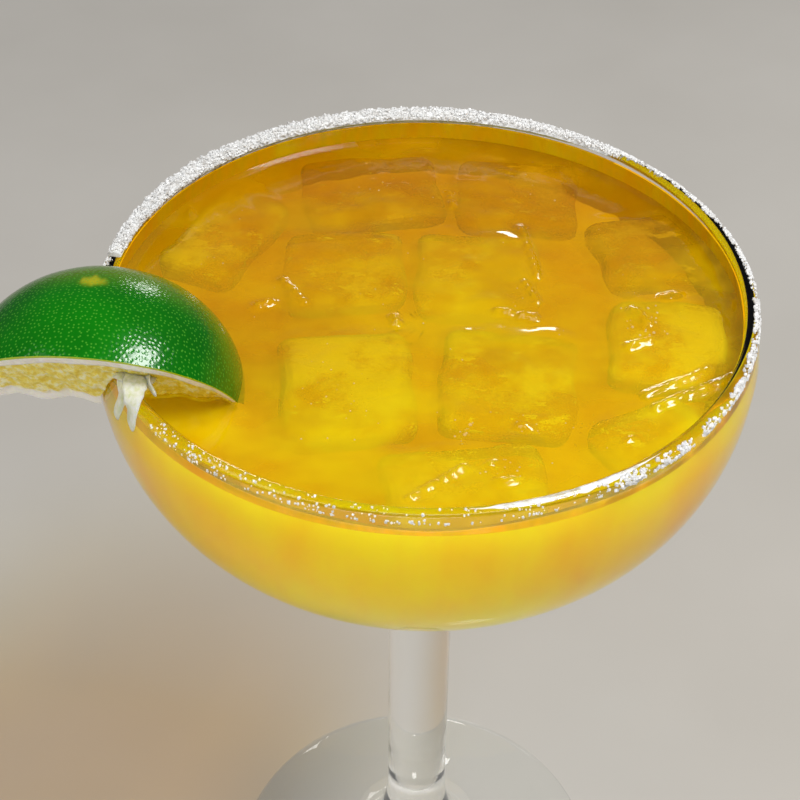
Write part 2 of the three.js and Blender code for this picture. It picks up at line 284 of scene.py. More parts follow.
def bowl_side(radius, depth, from_angle, to_angle, steps):
    points = []
    for step in range(steps + 1):
        angle = math.radians(from_angle + (to_angle - from_angle) * step / steps)
        points.append((
            radius * max(0, math.cos(angle)) ** SIDE_POWER,
            BOWL_WIDEST_HEIGHT - depth * math.sin(angle) ** DEPTH_POWER))
    return points


def lip_side(grow, steps):
    points = []
    for step in range(steps + 1):
        angle = math.pi * step / steps
        points.append((
            LIP_RING_RADIUS + (LIP_RADIUS + grow) * math.cos(angle),
            LIP_RING_HEIGHT + (LIP_RADIUS + grow) * math.sin(angle)))
    return points


def inner_radius(height):
    """Radius of the bowl's inner wall at a height."""
    if height >= BOWL_WIDEST_HEIGHT:
        share = (height - BOWL_WIDEST_HEIGHT) / (LIP_RING_HEIGHT - BOWL_WIDEST_HEIGHT)
        return BOWL_RADIUS - share - WALL
    drop = min(1, (BOWL_WIDEST_HEIGHT - height) / (BOWL_DEPTH - BOWL_FLOOR))
    return (BOWL_RADIUS - WALL) * math.cos(math.asin(drop ** (1 / DEPTH_POWER))) ** SIDE_POWER


def eased_step(value):
    value = min(1, max(0, value))
    return value * value * (3 - 2 * value)


def on_lip(round_angle, up, standoff):
    radius = LIP_RING_RADIUS + standoff * math.cos(up)
    height = LIP_RING_HEIGHT + standoff * math.sin(up)
    return Vector((radius * math.cos(round_angle), radius * math.sin(round_angle), height)) * MM


# Finishes
def new_finish(name):
    finish = bpy.data.materials.new(name)
    finish.use_nodes = True
    finish.node_tree.nodes.clear()
    return finish


def add(finish, kind, links=None, **values):
    """Adds a node. Values name an input or a setting, links join an input to another node's output."""
    node = finish.node_tree.nodes.new(kind)
    for label, value in values.items():
        socket = node.inputs.get(label.replace("_", " "))
        if socket is None:
            setattr(node, label, value)
        else:
            socket.default_value = value
    for label, source in (links or {}).items():
        finish.node_tree.links.new(source, node.inputs[label])
    return node


def place_on_piece(finish):
    return add(finish, "ShaderNodeTexCoord").outputs["Object"]


def stretched(finish, place, scale):
    return add(finish, "ShaderNodeMapping", {"Vector": place}, Scale=scale).outputs["Vector"]


def mottle(finish, place, scale, detail=3, rough=0.5):
    return add(finish, "ShaderNodeTexNoise", {"Vector": place},
               Scale=scale, Detail=detail, Roughness=rough).outputs["Fac"]


def dots(finish, place, scale):
    return add(finish, "ShaderNodeTexVoronoi", {"Vector": place}, Scale=scale).outputs["Distance"]


def measure(finish, name):
    return add(finish, "ShaderNodeAttribute", attribute_name=name).outputs["Fac"]


def spread(finish, value, low, high, to_low=0.0, to_high=1.0):
    """Maps a value's range low to high onto another range, with soft ends."""
    return add(finish, "ShaderNodeMapRange", {"Value": value}, interpolation_type="SMOOTHSTEP",
               From_Min=low, From_Max=high, To_Min=to_low, To_Max=to_high).outputs["Result"]


def arithmetic(finish, operation, first, second):
    node = add(finish, "ShaderNodeMath", operation=operation)
    for socket, value in zip(node.inputs, (first, second)):
        if isinstance(value, (int, float)):
            socket.default_value = value
        else:
            finish.node_tree.links.new(value, socket)
    return node.outputs["Value"]


def along_axis(finish, place, axis):
    return add(finish, "ShaderNodeSeparateXYZ", {"Vector": place}).outputs[axis]


def colour_steps(finish, value, stops):
    node = add(finish, "ShaderNodeValToRGB", {"Fac": value})
    ramp = node.color_ramp
    while len(ramp.elements) < len(stops):
        ramp.elements.new(0.5)
    for element, (position, colour) in zip(ramp.elements, stops):
        element.position = position
        element.color = (*colour, 1)
    return node.outputs["Color"]


def mixed_colours(finish, share, first, second):
    node = add(finish, "ShaderNodeMix", data_type="RGBA")
    finish.node_tree.links.new(share, node.inputs[0])
    for socket, colour in zip((node.inputs[6], node.inputs[7]), (first, second)):
        if isinstance(colour, tuple):
            socket.default_value = (*colour, 1)
        else:
            finish.node_tree.links.new(colour, socket)
    return node.outputs[2]


def relief(finish, height, strength, depth):
    """A bump from a height pattern, its depth in millimetres."""
    return add(finish, "ShaderNodeBump", {"Height": height},
               Strength=strength, Distance=depth * MM).outputs["Normal"]


def surface(finish, links, **values):
    return add(finish, "ShaderNodeBsdfPrincipled", links, **values).outputs["BSDF"]


def finished(finish, shader):
    add(finish, "ShaderNodeOutputMaterial", {"Surface": shader})
    return finish


def lit_through(finish, shader, tint):
    """Lets lamps and soft light shine through a clear piece, with a tint."""
    paths = add(finish, "ShaderNodeLightPath").outputs
    clear = add(finish, "ShaderNodeBsdfTransparent", Color=(*tint, 1)).outputs["BSDF"]
    for ray in ("Is Diffuse Ray", "Is Shadow Ray"):
        node = add(finish, "ShaderNodeMixShader", {"Fac": paths[ray]})
        finish.node_tree.links.new(shader, node.inputs[1])
        finish.node_tree.links.new(clear, node.inputs[2])
        shader = node.outputs["Shader"]
    return shader


def clear_glass():
    finish = new_finish("clear_glass")
    place = place_on_piece(finish)
    height = along_axis(finish, place, "Z")
    streaks = mottle(finish, stretched(finish, place, (1, 1, 0.25)), 60)
    rim_share = spread(finish, height, 0.1625, 0.1640)
    body = colour_steps(finish, streaks, [(0.3, (0.985, 0.993, 0.988)), (0.7, (1.0, 1.0, 1.0))])
    colour = mixed_colours(finish, rim_share, body, (0.95, 0.98, 0.96))
    wet = relief(finish, mottle(finish, place, 45, 2), 0.08, 0.3)
    shader = surface(finish, {"Base Color": colour, "Normal": wet},
                     Roughness=0.0, IOR=1.42, Transmission_Weight=1.0)
    return finished(finish, lit_through(finish, shader, (0.985, 0.99, 0.985)))


def drink_colour(finish, place):
    """Yellow, with orange clouds and a random browner drift; painted shade makes it browner towards the
    back.
    """
    clouds = mottle(finish, place, 55, 3, 0.55)
    drift = mottle(finish, stretched(finish, place, (1, 1, 0.4)), 24, 2)
    toward_back_for_shade = along_axis(finish, place, "Y")
    yellow = colour_steps(finish, clouds, [(0.3, (0.74, 0.52, 0.001)), (0.7, (0.80, 0.64, 0.001))])
    orange = colour_steps(finish, drift, [(0.3, (0.54, 0.22, 0.001)), (0.7, (0.65, 0.32, 0.001))])
    # Painted shade: the orange share grows towards the back of the drink.
    share = arithmetic(finish, "ADD", spread(finish, toward_back_for_shade, -0.045, 0.045, 0.0, 0.95),
                       spread(finish, drift, 0.4, 0.62, -0.15, 0.25))
    return mixed_colours(finish, share, yellow, orange)


def drink_top():
    finish = new_finish("drink_surface")
    place = place_on_piece(finish)
    colour = drink_colour(finish, place)
    waves = arithmetic(finish, "ADD", mottle(finish, stretched(finish, place, (0.45, 1, 1)), 230, 3),
                       mottle(finish, place, 90, 2))
    ripples = relief(finish, waves, 0.2, 0.35)
    murk = mottle(finish, stretched(finish, place, (1, 1.3, 1)), 42, 3, 0.6)
    clearness = spread(finish, murk, 0.36, 0.62, 0.44, 0.76)
    shader = surface(finish, {"Base Color": colour, "Transmission Weight": clearness,
                              "Normal": ripples, "Coat Normal": ripples},
                     Roughness=0.1, IOR=1.33, Coat_Weight=0.5, Coat_Roughness=0.02, Coat_IOR=1.33)
    return finished(finish, lit_through(finish, shader, (0.97, 0.86, 0.25)))


def drink_side():
    finish = new_finish("drink_against_glass")
    place = place_on_piece(finish)
    clouds = mottle(finish, stretched(finish, place, (1, 1, 0.35)), 70, 3, 0.6)
    upper = colour_steps(finish, clouds, [
        (0.28, (0.90, 0.53, 0.001)), (0.45, (0.94, 0.61, 0.001)), (0.7, (0.97, 0.72, 0.001))])
    # Painted light: a paler, brighter yellow towards the bottom stands in for light scattered down
    # through the drink.
    painted_glow_lower = colour_steps(finish, clouds, [
        (0.28, (0.96, 0.68, 0.001)), (0.45, (0.99, 0.76, 0.001)), (0.7, (1.0, 0.84, 0.001))])
    painted_glow_share = spread(finish, along_axis(finish, place, "Z"), 0.150, 0.128)
    middle = mixed_colours(finish, painted_glow_share, upper, painted_glow_lower)
    # Painted shade: more orange towards the left and right edges of the bowl.
    left_right = along_axis(finish, place, "X")
    painted_edge_shade_share = spread(finish, arithmetic(finish, "ABSOLUTE", left_right, 0), 0.014, 0.048, 0.0, 0.85)
    sides = colour_steps(finish, clouds, [(0.3, (0.93, 0.48, 0.001)), (0.6, (0.96, 0.58, 0.001))])
    colour = mixed_colours(finish, painted_edge_shade_share, middle, sides)
    shader = surface(finish, {"Base Color": colour},
                     Roughness=0.15, IOR=1.02, Transmission_Weight=0.08,
                     Subsurface_Weight=1.0, Subsurface_Radius=(1.0, 0.9, 0.05), Subsurface_Scale=0.022)
    return finished(finish, lit_through(finish, shader, (0.97, 0.86, 0.25)))


def drink_film():
    finish = new_finish("drink_clinging_to_wall")
    place = place_on_piece(finish)
    runs = mottle(finish, stretched(finish, place, (1, 1, 0.3)), 130, 3, 0.6)
    colour = colour_steps(finish, runs, [(0.35, (0.95, 0.42, 0.001)), (0.65, (1.0, 0.64, 0.003))])
    thin = spread(finish, runs, 0.35, 0.65, 0.1, 0.5)
    waves = relief(finish, runs, 0.5, 0.5)
    shader = surface(finish, {"Base Color": colour, "Transmission Weight": thin, "Normal": waves},
                     Roughness=0.04, IOR=1.2)
    return finished(finish, lit_through(finish, shader, (0.97, 0.88, 0.4)))


def deep_cloud():
    finish = new_finish("cloudy_juice")
    place = place_on_piece(finish)
    clouds = mottle(finish, place, 45, 4, 0.6)
    colour = colour_steps(finish, clouds, [
        (0.3, (0.62, 0.30, 0.002)), (0.5, (0.76, 0.44, 0.002)), (0.7, (0.86, 0.60, 0.003))])
    soft = relief(finish, clouds, 0.5, 2)
    shader = surface(finish, {"Base Color": colour, "Normal": soft}, Roughness=0.9,
                     Specular_IOR_Level=0.0)
    return finished(finish, lit_through(finish, shader, (0.9, 0.72, 0.1)))


def wet_ice(name, tints, cloudiest):
    """Wet ice, clear with cloudy patches. Tints go from clear to cloudy."""
    finish = new_finish(name)
    place = place_on_piece(finish)
    clouds = mottle(finish, place, 110, 4, 0.62)
    patches = mottle(finish, place, 38, 2)
    both = arithmetic(finish, "MULTIPLY", clouds, patches)
    colour = colour_steps(finish, patches, [(0.36, tints[0]), (0.5, tints[1]), (0.66, tints[2])])
    veins = mottle(finish, stretched(finish, place, (0.5, 1, 1)), 420, 4, 0.7)
    flaws = arithmetic(finish, "ADD", both, spread(finish, veins, 0.56, 0.68, 0.0, 0.14))
    clearness = spread(finish, flaws, 0.18, 0.34, 0.94, cloudiest)
    melt = relief(finish, mottle(finish, place, 150, 4, 0.6), 0.5, 0.8)
    shader = surface(finish, {"Base Color": colour, "Normal": melt, "Transmission Weight": clearness},
                     Roughness=0.05, IOR=1.06,
                     Coat_Weight=0.25, Coat_Roughness=0.05, Coat_IOR=1.3)
    return finished(finish, lit_through(finish, shader, (0.93, 0.93, 0.90)))


def air_bubble():
    finish = new_finish("air_bubble")
    place = place_on_piece(finish)
    tint = mottle(finish, place, 400, 2)
    colour = colour_steps(finish, tint, [(0.35, (0.9, 0.66, 0.25)), (0.65, (0.95, 0.85, 0.6))])
    shader = surface(finish, {"Base Color": colour}, Roughness=0.04, IOR=1.25,
                     Transmission_Weight=0.7)
    return finished(finish, lit_through(finish, shader, (0.97, 0.95, 0.9)))


def lime_peel():
    finish = new_finish("lime_peel")
    place = place_on_piece(finish)
    on_skin = add(finish, "ShaderNodeCombineXYZ", {
        "X": measure(finish, "skin_along"), "Y": measure(finish, "skin_around")}).outputs["Vector"]
    glands = add(finish, "ShaderNodeTexVoronoi", {"Vector": on_skin}, voronoi_dimensions="2D",
                 Scale=1.3, Randomness=0.75).outputs["Distance"]
    pale_dot = spread(finish, glands, 0.10, 0.24, 1.0, 0.0)
    patches = mottle(finish, place, 70, 3)
    along = measure(finish, "along")
    around = measure(finish, "around")
    green = colour_steps(finish, patches, [(0.3, (0.0008, 0.11, 0.0008)), (0.7, (0.002, 0.18, 0.001))])
    olive = colour_steps(finish, patches, [(0.3, (0.08, 0.19, 0.003)), (0.7, (0.18, 0.27, 0.006))])
    # Painted sheen: olive where the skin turns away from view at the back; also olive towards the end of
    # the wedge.
    sheen_towards_back = spread(finish, around, 88, 58)
    to_end = spread(finish, along, 17, 23)
    olive_sheen_share = arithmetic(finish, "MAXIMUM", sheen_towards_back, to_end)
    patchy = spread(finish, patches, 0.3, 0.6, 0.45, 1.0)
    patchy_share = arithmetic(finish, "MULTIPLY", olive_sheen_share, patchy)
    body = mixed_colours(finish, patchy_share, green, olive)
    spotted = mixed_colours(finish, measure(finish, "yellow_spot"), body, (0.50, 0.46, 0.01))
    dotted = arithmetic(finish, "MULTIPLY", pale_dot, 0.6)
    colour = mixed_colours(finish, dotted, spotted, (0.10, 0.42, 0.03))
    waves = arithmetic(finish, "MULTIPLY", mottle(finish, on_skin, 0.45, 2), 3.0)
    hollows = arithmetic(finish, "ADD", spread(finish, glands, 0.05, 0.5), waves)
    pits = relief(finish, hollows, 0.8, 0.03)
    shader = surface(finish, {"Base Color": colour, "Normal": pits}, Roughness=0.17, IOR=1.46)
    return finished(finish, shader)


def lime_cut():
    """Rings from the skin inwards: yellow-green line, cream pith, grainy flesh, white at the core."""
    finish = new_finish("lime_cut_face")
    place = place_on_piece(finish)
    grains = mottle(finish, stretched(finish, place, (1.0, 0.55, 0.55)), 900, 3, 0.6)
    sacs = dots(finish, stretched(finish, place, (1.0, 0.35, 0.35)), 560)
    wander = spread(finish, mottle(finish, place, 320, 2), 0.3, 0.7, -0.25, 0.25)
    depth = arithmetic(finish, "ADD", measure(finish, "below_skin"), wander)
    from_core = arithmetic(finish, "ADD", measure(finish, "from_core"),
                           arithmetic(finish, "MULTIPLY", wander, 2.4))
    juicy = colour_steps(finish, grains, [
        (0.3, (0.76, 0.54, 0.020)), (0.5, (0.92, 0.76, 0.11)), (0.68, (1.0, 0.95, 0.58))])
    flesh = mixed_colours(finish, spread(finish, sacs, 0.0, 0.12, 0.5, 0.0), juicy, (0.97, 0.95, 0.74))
    pith = colour_steps(finish, grains, [(0.35, (0.94, 0.88, 0.78)), (0.65, (0.98, 0.96, 0.90))])
    ringed = mixed_colours(finish, spread(finish, depth, 3.2, 3.9), pith, flesh)
    edged = mixed_colours(finish, spread(finish, measure(finish, "below_skin"), 0.7, 1.1),
                          (0.48, 0.62, 0.01), ringed)
    at_core = spread(finish, from_core, 2.2, 3.4, 1.0, 0.0)
    colour = mixed_colours(finish, at_core, edged, (0.90, 0.86, 0.78))
    bumps = relief(finish, arithmetic(finish, "ADD", grains, sacs), 0.6, 0.35)
    shader = surface(finish, {"Base Color": colour, "Normal": bumps}, Roughness=0.24, IOR=1.36,
                     Subsurface_Weight=0.35, Subsurface_Radius=(1.0, 0.8, 0.3), Subsurface_Scale=0.0012)
    return finished(finish, shader)


def torn_pith():
    finish = new_finish("torn_pith")
    place = place_on_piece(finish)
    fibres = mottle(finish, stretched(finish, place, (1, 0.6, 0.35)), 1500, 3, 0.6)
    colour = colour_steps(finish, fibres, [(0.3, (0.66, 0.70, 0.42)), (0.6, (0.88, 0.88, 0.78))])
    torn = relief(finish, fibres, 0.5, 0.2)
    shader = surface(finish, {"Base Color": colour, "Normal": torn}, Roughness=0.28, IOR=1.38,
                     Transmission_Weight=0.18,
                     Subsurface_Weight=0.7, Subsurface_Radius=(1.0, 0.9, 0.6), Subsurface_Scale=0.0012)
    return finished(finish, shader)


def salt_crystals():
    finish = new_finish("salt_crystals")
    place = place_on_piece(finish)
    tone = mottle(finish, place, 900, 2)
    colour = colour_steps(finish, tone, [
        (0.34, (0.80, 0.78, 0.75)), (0.46, (0.94, 0.93, 0.91)), (0.6, (0.98, 0.98, 0.97))])
    facets = relief(finish, dots(finish, place, 2200), 0.5, 0.12)
    shader = surface(finish, {"Base Color": colour, "Normal": facets}, Roughness=0.3, IOR=1.5,
                     Transmission_Weight=0.12)
    return finished(finish, shader)


def salt_film_and_highlight():
    """A white, streaky film of dried salt on the wet glass, which also paints the highlight on the front
    of the lip.
    """
    finish = new_finish("salt_film_painted_highlight")
    place = place_on_piece(finish)
    streaks = mottle(finish, stretched(finish, place, (0.5, 1, 2.5)), 500, 3, 0.6)
    colour = colour_steps(finish, streaks, [(0.35, (0.82, 0.81, 0.78)), (0.6, (0.98, 0.98, 0.97))])
    thin = spread(finish, streaks, 0.36, 0.6, 0.75, 0.1)
    grain = relief(finish, streaks, 0.4, 0.15)
    shader = surface(finish, {"Base Color": colour, "Transmission Weight": thin, "Normal": grain},
                     Roughness=0.18, IOR=1.45)
    return finished(finish, lit_through(finish, shader, (0.97, 0.97, 0.96)))


def pale_floor():
    finish = new_finish("pale_floor")
    place = place_on_piece(finish)
    tone = mottle(finish, place, 9, 4)
    colour = colour_steps(finish, tone, [(0.35, (0.55, 0.52, 0.47)), (0.65, (0.59, 0.56, 0.51))])
    return finished(finish, surface(finish, {"Base Color": colour}, Roughness=0.75))


# Glass
def glass_piece():
    outline = [
        *FOOT_EDGE[:-1],
        *eased(FOOT_FLARE, 6),
        *STEM,
        *eased(NECK, 5),
        *bowl_side(BOWL_RADIUS, BOWL_DEPTH, 77, 0, 44),
        *lip_side(0, 16)[1:],
        *bowl_side(BOWL_RADIUS - WALL, BOWL_DEPTH - BOWL_FLOOR, 0, 90, 50),
    ]
    piece = turned("glass_foot_stem_and_bowl", outline, 160)
    smooth(piece, 60)
    wear(piece, clear_glass())
    belong(piece, "glass", "glass")


# Drink
def ice_lift(x, y):
    """How far the ice just under it lifts the skin of the drink, in mm."""
    lift = 0
    for number, cube in enumerate(ICE_CUBES):
        turn = math.radians(cube["turn"])
        dx = x - cube["at"][0]
        dy = y - cube["at"][1]
        across = abs(dx * math.cos(turn) + dy * math.sin(turn)) - cube["size"][0] / 2 + ICE_ROUNDING
        deep = abs(dy * math.cos(turn) - dx * math.sin(turn)) - cube["size"][1] / 2 + ICE_ROUNDING
        outside = math.hypot(max(across, 0), max(deep, 0)) + min(max(across, deep), 0) - BULGE_ROUNDING
        melted = noise.noise(Vector((0.11 * x, 0.11 * y, 7.3 * number)))
        dented = noise.noise(Vector((0.4 * x, 0.4 * y, 3.1 * number)))
        wavering = 1.6 * noise.noise(Vector((0.17 * x, 0.17 * y, 5.7 * number)))
        top = max(LEAST_LIFT_OVER_ICE, 0.32 + 0.5 * melted + 0.14 * dented)
        lift = max(lift, eased_step(0.5 - (outside + wavering) / (3.6 + 1.2 * melted)) * top)
    return lift


def glint_lift(x, y):
    """Small ridges and knobs of wet ice that stand out of the drink, in mm."""
    lift = 0
    for start, end, height, width in GLINTS:
        along = Vector(end) - Vector(start)
        out = Vector((x, y)) - Vector(start)
        share = min(1, max(0, out.dot(along) / max(along.length_squared, 1e-6)))
        gap = (out - share * along).length / (GLINT_WIDTH_FACTOR * width)
        if gap < 3:
            uneven = 1 + 0.5 * noise.noise(Vector((0.9 * x, 0.9 * y, 4)))
            lift = max(lift, GLINT_HEIGHT_FACTOR * height * uneven * math.exp(-gap * gap))
    return lift


def lower_film_edge(piece):
    """Gives the film of drink on the wall a wavy upper edge, highest at the back."""
    for corner in piece.data.vertices:
        x, y, z = corner.co / MM
        if z > MENISCUS_TOP:
            round_angle = math.atan2(y, x)
            wave = noise.noise(Vector((2.2 * math.cos(round_angle), 2.2 * math.sin(round_angle), 6)))
            share = min(1, max(0.12, 0.85 + 0.6 * math.sin(round_angle) + 0.3 * wave))
            corner.co.z = (MENISCUS_TOP + (z - MENISCUS_TOP) * share) * MM


def lift_drink_over_ice(piece):
    for corner in piece.data.vertices:
        x, y, z = corner.co / MM
        if z > DRINK_LEVEL - 0.1 and math.hypot(x, y) < inner_radius(z) - 0.3:
            to_wall = inner_radius(DRINK_LEVEL) - math.hypot(x, y)
            calm = eased_step(to_wall / CALM_NEAR_WALL)
            ripple = 0.07 * noise.noise(Vector((0.16 * x, 0.16 * y, 3)))
            corner.co.z += calm * (max(ice_lift(x, y), glint_lift(x, y)) + ripple) * MM


def drink_piece():
    side = bowl_side(BOWL_RADIUS - WALL + INTO_WALL, BOWL_DEPTH - BOWL_FLOOR + INTO_WALL, 90, 0, 44)
    film_heights = [MENISCUS_TOP + (FILM_TOP - MENISCUS_TOP) * step / 5 for step in range(6)]
    in_wall = [(inner_radius(height) + INTO_WALL, height) for height in (158.5, *film_heights)]
    film = [(inner_radius(height) - FILM_THICKNESS, height - 0.1) for height in reversed(film_heights)]
    edge = film[-1][0]
    creep = [(edge - MENISCUS_WIDTH * step / 6,
              DRINK_LEVEL + MENISCUS_RISE * (1 - step / 6) ** 2.2) for step in range(1, 7)]
    calm_edge = edge - MENISCUS_WIDTH
    flat = [(calm_edge * (1 - step / RINGS_OF_DRINK_SURFACE), DRINK_LEVEL)
            for step in range(1, RINGS_OF_DRINK_SURFACE + 1)]
    piece = turned("drink_with_ripples", [*side, *in_wall, *film, *creep, *flat], SPIN_STEPS_OF_DRINK)
    lower_film_edge(piece)
    lift_drink_over_ice(piece)
    top_finish, side_finish, film_finish = range(3)
    wear(piece, drink_top(), drink_side(), drink_film())
    for face in piece.data.polygons:
        x, y, height = face.center / MM
        inside_wall = math.hypot(x, y) < inner_radius(height) - TOP_FINISH_OFF_WALL
        if height > TOP_FINISH_FROM and inside_wall:
            face.material_index = top_finish
        else:
            face.material_index = film_finish if height > MENISCUS_TOP else side_finish
    smooth(piece, 60)
    belong(piece, "drink", "drink")


def cloud_piece():
    """The cloudy juice in the depth of the drink, under and between the cubes."""
    side = bowl_side(BOWL_RADIUS - WALL - CLOUD_CLEARANCE, BOWL_DEPTH - BOWL_FLOOR - CLOUD_CLEARANCE,
                     90, 9, 30)
    radius, height = side[-1]
    top = [(radius * (1 - step / 24), height + 2.5 * math.sin(0.5 * math.pi * step / 24))
           for step in range(1, 25)]
    piece = turned("cloud_in_the_drink", [*side, *top], 120)
    for corner in piece.data.vertices:
        wave = noise.noise(corner.co * 55)
        corner.co += corner.normal * wave * 1.6 * MM
    smooth(piece, 80)
    wear(piece, deep_cloud())
    belong(piece, "drink", "drink")


# Ice
def kept_off_wall(spot):
    """Draws a point in millimetres back to where the ice keeps clear of the bowl."""
    x, y, z = spot
    room = inner_radius(min(z - ICE_WALL_CLEARANCE * (z < BOWL_WIDEST_HEIGHT), LIP_RING_HEIGHT))
    room -= ICE_WALL_CLEARANCE
    radius = math.hypot(x, y)
    if radius <= room:
        return spot
    return Vector((x * room / radius, y * room / radius, z))


def melted_corner(spot, number, height):
    """Taper, unevenness and small dents of half melted moulded ice, in the cube's own frame."""
    x, y, z = spot
    narrowing = 1 - ICE_TAPER * (0.5 - z / height)
    bulge = ICE_UNEVEN * math.sin(0.21 * (x + 2 * y) + 0.17 * z + 1.7 * (number - 1))
    dent = 0.28 * noise.noise(Vector((0.22 * x, 0.22 * y, 0.22 * z + 9.1 * number)))
    return Vector((x * narrowing + bulge + dent, y * narrowing - bulge + dent, z + 0.5 * dent))


def ice_piece(number, cube, finish):
    width, depth, height = cube["size"]
    leave_nothing_selected()
    full_size = (width * MM, depth * MM, height * MM)
    bpy.ops.mesh.primitive_cube_add(size=1, location=(0, 0, 0), scale=full_size)
    piece = named(f"ice_cube_{number}_melted")
    bpy.ops.object.transform_apply(location=False, rotation=False, scale=True)
    bpy.ops.object.mode_set(mode="EDIT")
    bpy.ops.mesh.select_all(action="SELECT")
    bpy.ops.mesh.bevel(offset=ICE_ROUNDING * MM, segments=4, profile=0.5, affect="EDGES")
    bpy.ops.object.mode_set(mode="OBJECT")
    apply_modifier(piece, "SUBSURF", subdivision_type="SIMPLE", levels=3, render_levels=3)
    for corner in piece.data.vertices:
        corner.co = melted_corner(corner.co / MM, number, height) * MM
    lean_x, lean_y = cube["lean"]
    piece.rotation_euler = (math.radians(lean_x), math.radians(lean_y), math.radians(cube["turn"]))
    middle = DRINK_LEVEL + ICE_ABOVE_DRINK - height / 2 - ICE_UNDER_SKIN
    piece.location = Vector((*cube["at"], middle)) * MM
    bpy.ops.object.transform_apply(location=True, rotation=True, scale=True)
    for corner in piece.data.vertices:
        corner.co = kept_off_wall(corner.co / MM) * MM
    smooth(piece, 70)
    wear(piece, finish)
    belong(piece, "ice", f"ice_cube_{number}")


# Bubbles: bunches of a middle in mm, how wide, how deep under the level, how many and how large
BUBBLES_WITHIN = 51
LIME_IN_DRINK = (-46, -20)
BUBBLES_OFF_LIME = 19
BUBBLE_BUNCHES = [
    {"at": (36.5, -2.5), "wide": (3.2, 4.6), "under": (-0.6, 0.4), "count": 46, "size": (0.15, 0.6)},
    {"at": (-6, 36), "wide": (11, 5), "under": (-0.1, 2), "count": 130, "size": (0.1, 0.42)},
    {"at": (5, 33), "wide": (1.2, 4), "under": (0, 3), "count": 22, "size": (0.15, 0.4)},
    {"at": (-5.3, -2.9), "wide": (1.0, 1.8), "under": (-0.3, 0.5), "count": 14, "size": (0.2, 0.5)},
    {"at": (-35, 20), "wide": (7, 12), "under": (-0.1, 2), "count": 90, "size": (0.1, 0.35)},
    {"at": (20, 36), "wide": (9, 6), "under": (-0.1, 1.5), "count": 60, "size": (0.1, 0.34)},
    {"at": (5.5, -31), "wide": (1.8, 5), "under": (-0.3, 0.8), "count": 34, "size": (0.15, 0.5)},
    {"at": (15.3, -29.7), "wide": (2.2, 1.6), "under": (-0.4, 0.3), "count": 26, "size": (0.15, 0.45)},
    {"at": (-14, -20), "wide": (9, 12), "under": (-0.2, 1.5), "count": 150, "size": (0.08, 0.32)},
    {"at": (24, -30), "wide": (11, 5), "under": (-0.2, 1.5), "count": 50, "size": (0.12, 0.4)},
    {"at": (11.6, -40), "wide": (3.4, 2.2), "under": (-0.3, 0.6), "count": 24, "size": (0.15, 0.5)},
    {"at": (40, 10), "wide": (7, 9), "under": (0, 3), "count": 34, "size": (0.1, 0.34)},
    {"at": (17, 2), "wide": (3, 2), "under": (-0.2, 0.8), "count": 14, "size": (0.12, 0.34)},
    {"at": (-28, 1), "wide": (4, 1.6), "under": (-0.3, 0.6), "count": 16, "size": (0.15, 0.4)},
    {"at": (0, 0), "wide": (44, 44), "under": (-0.2, 1.2), "count": 240, "size": (0.08, 0.28)},
]


def copies_in_one_mesh(name, pattern, placements):
    """One mesh of many copies of a small modelled shape. A placement is a matrix."""
    corners = [corner.co.copy() for corner in pattern.data.vertices]
    sides = [tuple(face.vertices) for face in pattern.data.polygons]
    spots = []
    faces = []
    for placement in placements:
        first = len(spots)
        spots.extend(placement @ corner for corner in corners)
        faces.extend(tuple(first + index for index in side) for side in sides)
    mesh = bpy.data.meshes.new(name)
    mesh.from_pydata(spots, [], faces)
    mesh.update()
    piece = bpy.data.objects.new(name, mesh)
    bpy.context.collection.objects.link(piece)
    return piece


def small_pattern(kind):
    leave_nothing_selected()
    if kind == "bubble":
        bpy.ops.mesh.primitive_ico_sphere_add(subdivisions=2, radius=1, location=(0, 0, 0))
    else:
        bpy.ops.mesh.primitive_cube_add(size=1, location=(0, 0, 0))
        bpy.ops.object.mode_set(mode="EDIT")
        crystal = bmesh.from_edit_mesh(bpy.context.object.data)
        for corner in crystal.verts:
            corner.select = corner.co.z > 0
        crystal.select_flush(True)
        bmesh.update_edit_mesh(bpy.context.object.data)
        bpy.ops.transform.resize(value=(0.72, 0.86, 1))
        bpy.ops.transform.translate(value=(0.1, 0, 0))
        crystal = bmesh.from_edit_mesh(bpy.context.object.data)
        for corner in crystal.verts:
            corner.select = corner.co.z > 0 and corner.co.x > 0 and corner.co.y > 0
        crystal.select_flush(False)
        bmesh.update_edit_mesh(bpy.context.object.data)
        bpy.ops.mesh.bevel(offset=0.3, segments=1, affect="VERTICES")
        bpy.ops.object.mode_set(mode="OBJECT")
    return named(f"{kind}_pattern")


def bubble_piece():
    chance = random.Random(21)
    placements = []
    for bunch in BUBBLE_BUNCHES:
        for _ in range(bunch["count"]):
            x = bunch["at"][0] + 0.5 * bunch["wide"][0] * chance.gauss(0, 1)
            y = bunch["at"][1] + 0.5 * bunch["wide"][1] * chance.gauss(0, 1)
            radius = 0.72 * chance.uniform(*bunch["size"]) * chance.uniform(0.5, 1)
            from_lime = math.hypot(x - LIME_IN_DRINK[0], y - LIME_IN_DRINK[1])
            if math.hypot(x, y) > BUBBLES_WITHIN or from_lime < BUBBLES_OFF_LIME:
                continue
            z = DRINK_LEVEL + 0.9 * ice_lift(x, y) - 0.3 * radius - chance.uniform(*bunch["under"])
            z = min(z, DRINK_LEVEL + ice_lift(x, y) - 0.1 * radius)
            placements.append(Matrix.Translation(Vector((x, y, z)) * MM) @ Matrix.Scale(radius * MM, 4))
    pattern = small_pattern("bubble")
    piece = copies_in_one_mesh("bubbles_in_drink", pattern, placements)
    bpy.data.objects.remove(pattern)
    smooth(piece, 80)
    wear(piece, air_bubble())
    belong(piece, "drink")


